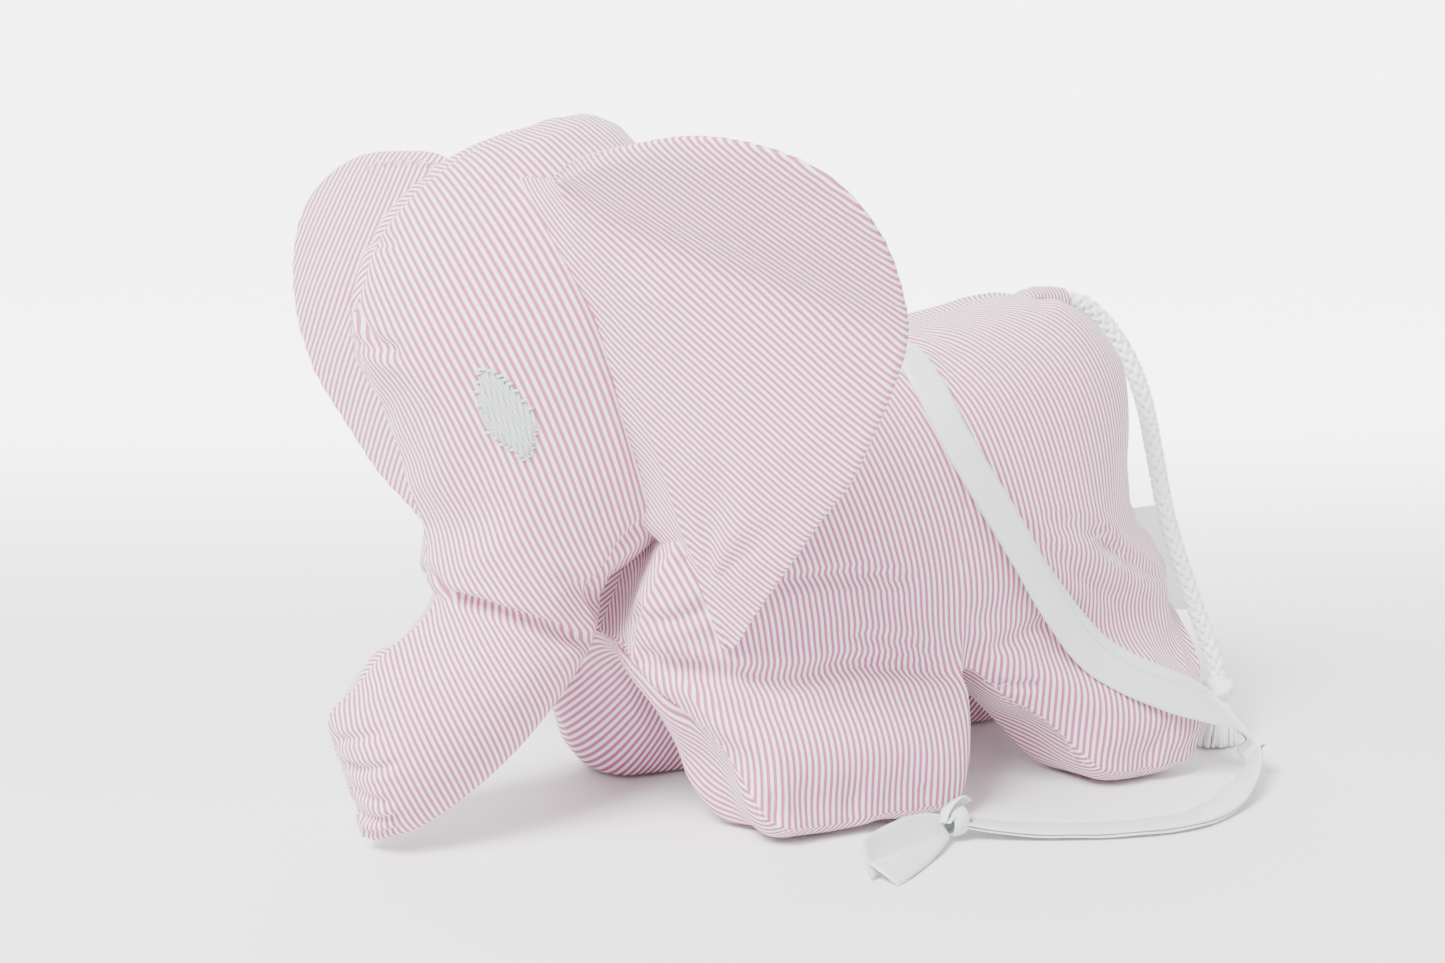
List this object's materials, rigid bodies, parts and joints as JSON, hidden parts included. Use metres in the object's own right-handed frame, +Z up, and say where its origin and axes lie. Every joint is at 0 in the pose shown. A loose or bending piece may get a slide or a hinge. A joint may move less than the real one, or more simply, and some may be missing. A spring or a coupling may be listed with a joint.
{
  "type": "stuffed elephant",
  "caption": "Soft stuffed elephant of striped cotton with flapping ears, a bending trunk, a cord tail and a satin hanging ribbon.",
  "frame": {"origin": "centre of the toy's box in X and Y, on the floor it stands on", "axes": "the toy faces -X, its left side is -Y, +Z up"},
  "size_m": [0.3088, 0.2429, 0.2114],
  "materials": {
    "striped_cotton": "fine woven cotton with narrow pink and white stripes",
    "polyester_filling": "loose polyester fibre",
    "embroidery_thread": "silvery white satin stitch",
    "satin_ribbon": "glossy white satin",
    "cotton_cord": "white braided cotton",
    "woven_label": "blank white woven tape"
  },
  "bodies": {
    "body": {"torso_side_left": "striped_cotton", "torso_side_right": "striped_cotton", "belly_gusset": "striped_cotton", "torso_stuffing": "polyester_filling", "head_side_left": "striped_cotton", "head_side_right": "striped_cotton", "head_stuffing": "polyester_filling", "eye_left": "embroidery_thread", "eye_right": "embroidery_thread", "ear_left_base": "striped_cotton", "ear_right_base": "striped_cotton", "seam_label": "woven_label", "tail_tab": "striped_cotton", "ribbon_outer": "satin_ribbon", "ribbon_inner": "satin_ribbon", "ribbon_knot": "satin_ribbon", "ribbon_ends": "satin_ribbon"},
    "trunk": {"trunk_side_left": "striped_cotton", "trunk_side_right": "striped_cotton", "trunk_stuffing": "polyester_filling"},
    "ear_left": {"ear_left_front": "striped_cotton", "ear_left_back": "striped_cotton", "ear_left_wadding": "polyester_filling"},
    "ear_right": {"ear_right_front": "striped_cotton", "ear_right_back": "striped_cotton", "ear_right_wadding": "polyester_filling"},
    "tail": {"tail_cord": "cotton_cord", "tail_knot": "cotton_cord", "tail_tassel": "cotton_cord"}
  },
  "joints": [
    {"name": "trunk_bend", "type": "hinge", "parent": "body", "child": "trunk", "pos_m": [-0.09686, 0, 0.05391], "axis": [0, 1, 0], "range_deg": [-3, 18], "stiffness_Nm_per_rad": 0.15},
    {"name": "ear_left_flap", "type": "hinge", "parent": "body", "child": "ear_left", "pos_m": [-0.093, -0.043, 0.191], "axis": [0.3425, -0.0196, -0.9393], "range_deg": [-36, 70], "stiffness_Nm_per_rad": 0.02},
    {"name": "ear_right_flap", "type": "hinge", "parent": "body", "child": "ear_right", "pos_m": [-0.093, 0.043, 0.191], "axis": [-0.1138, -0.0207, 0.9933], "range_deg": [-62, 4], "stiffness_Nm_per_rad": 0.02},
    {"name": "tail_lift", "type": "hinge", "parent": "body", "child": "tail", "pos_m": [0.105, 0, 0.151], "axis": [0, -1, 0], "range_deg": [0, 90]}
  ]
}
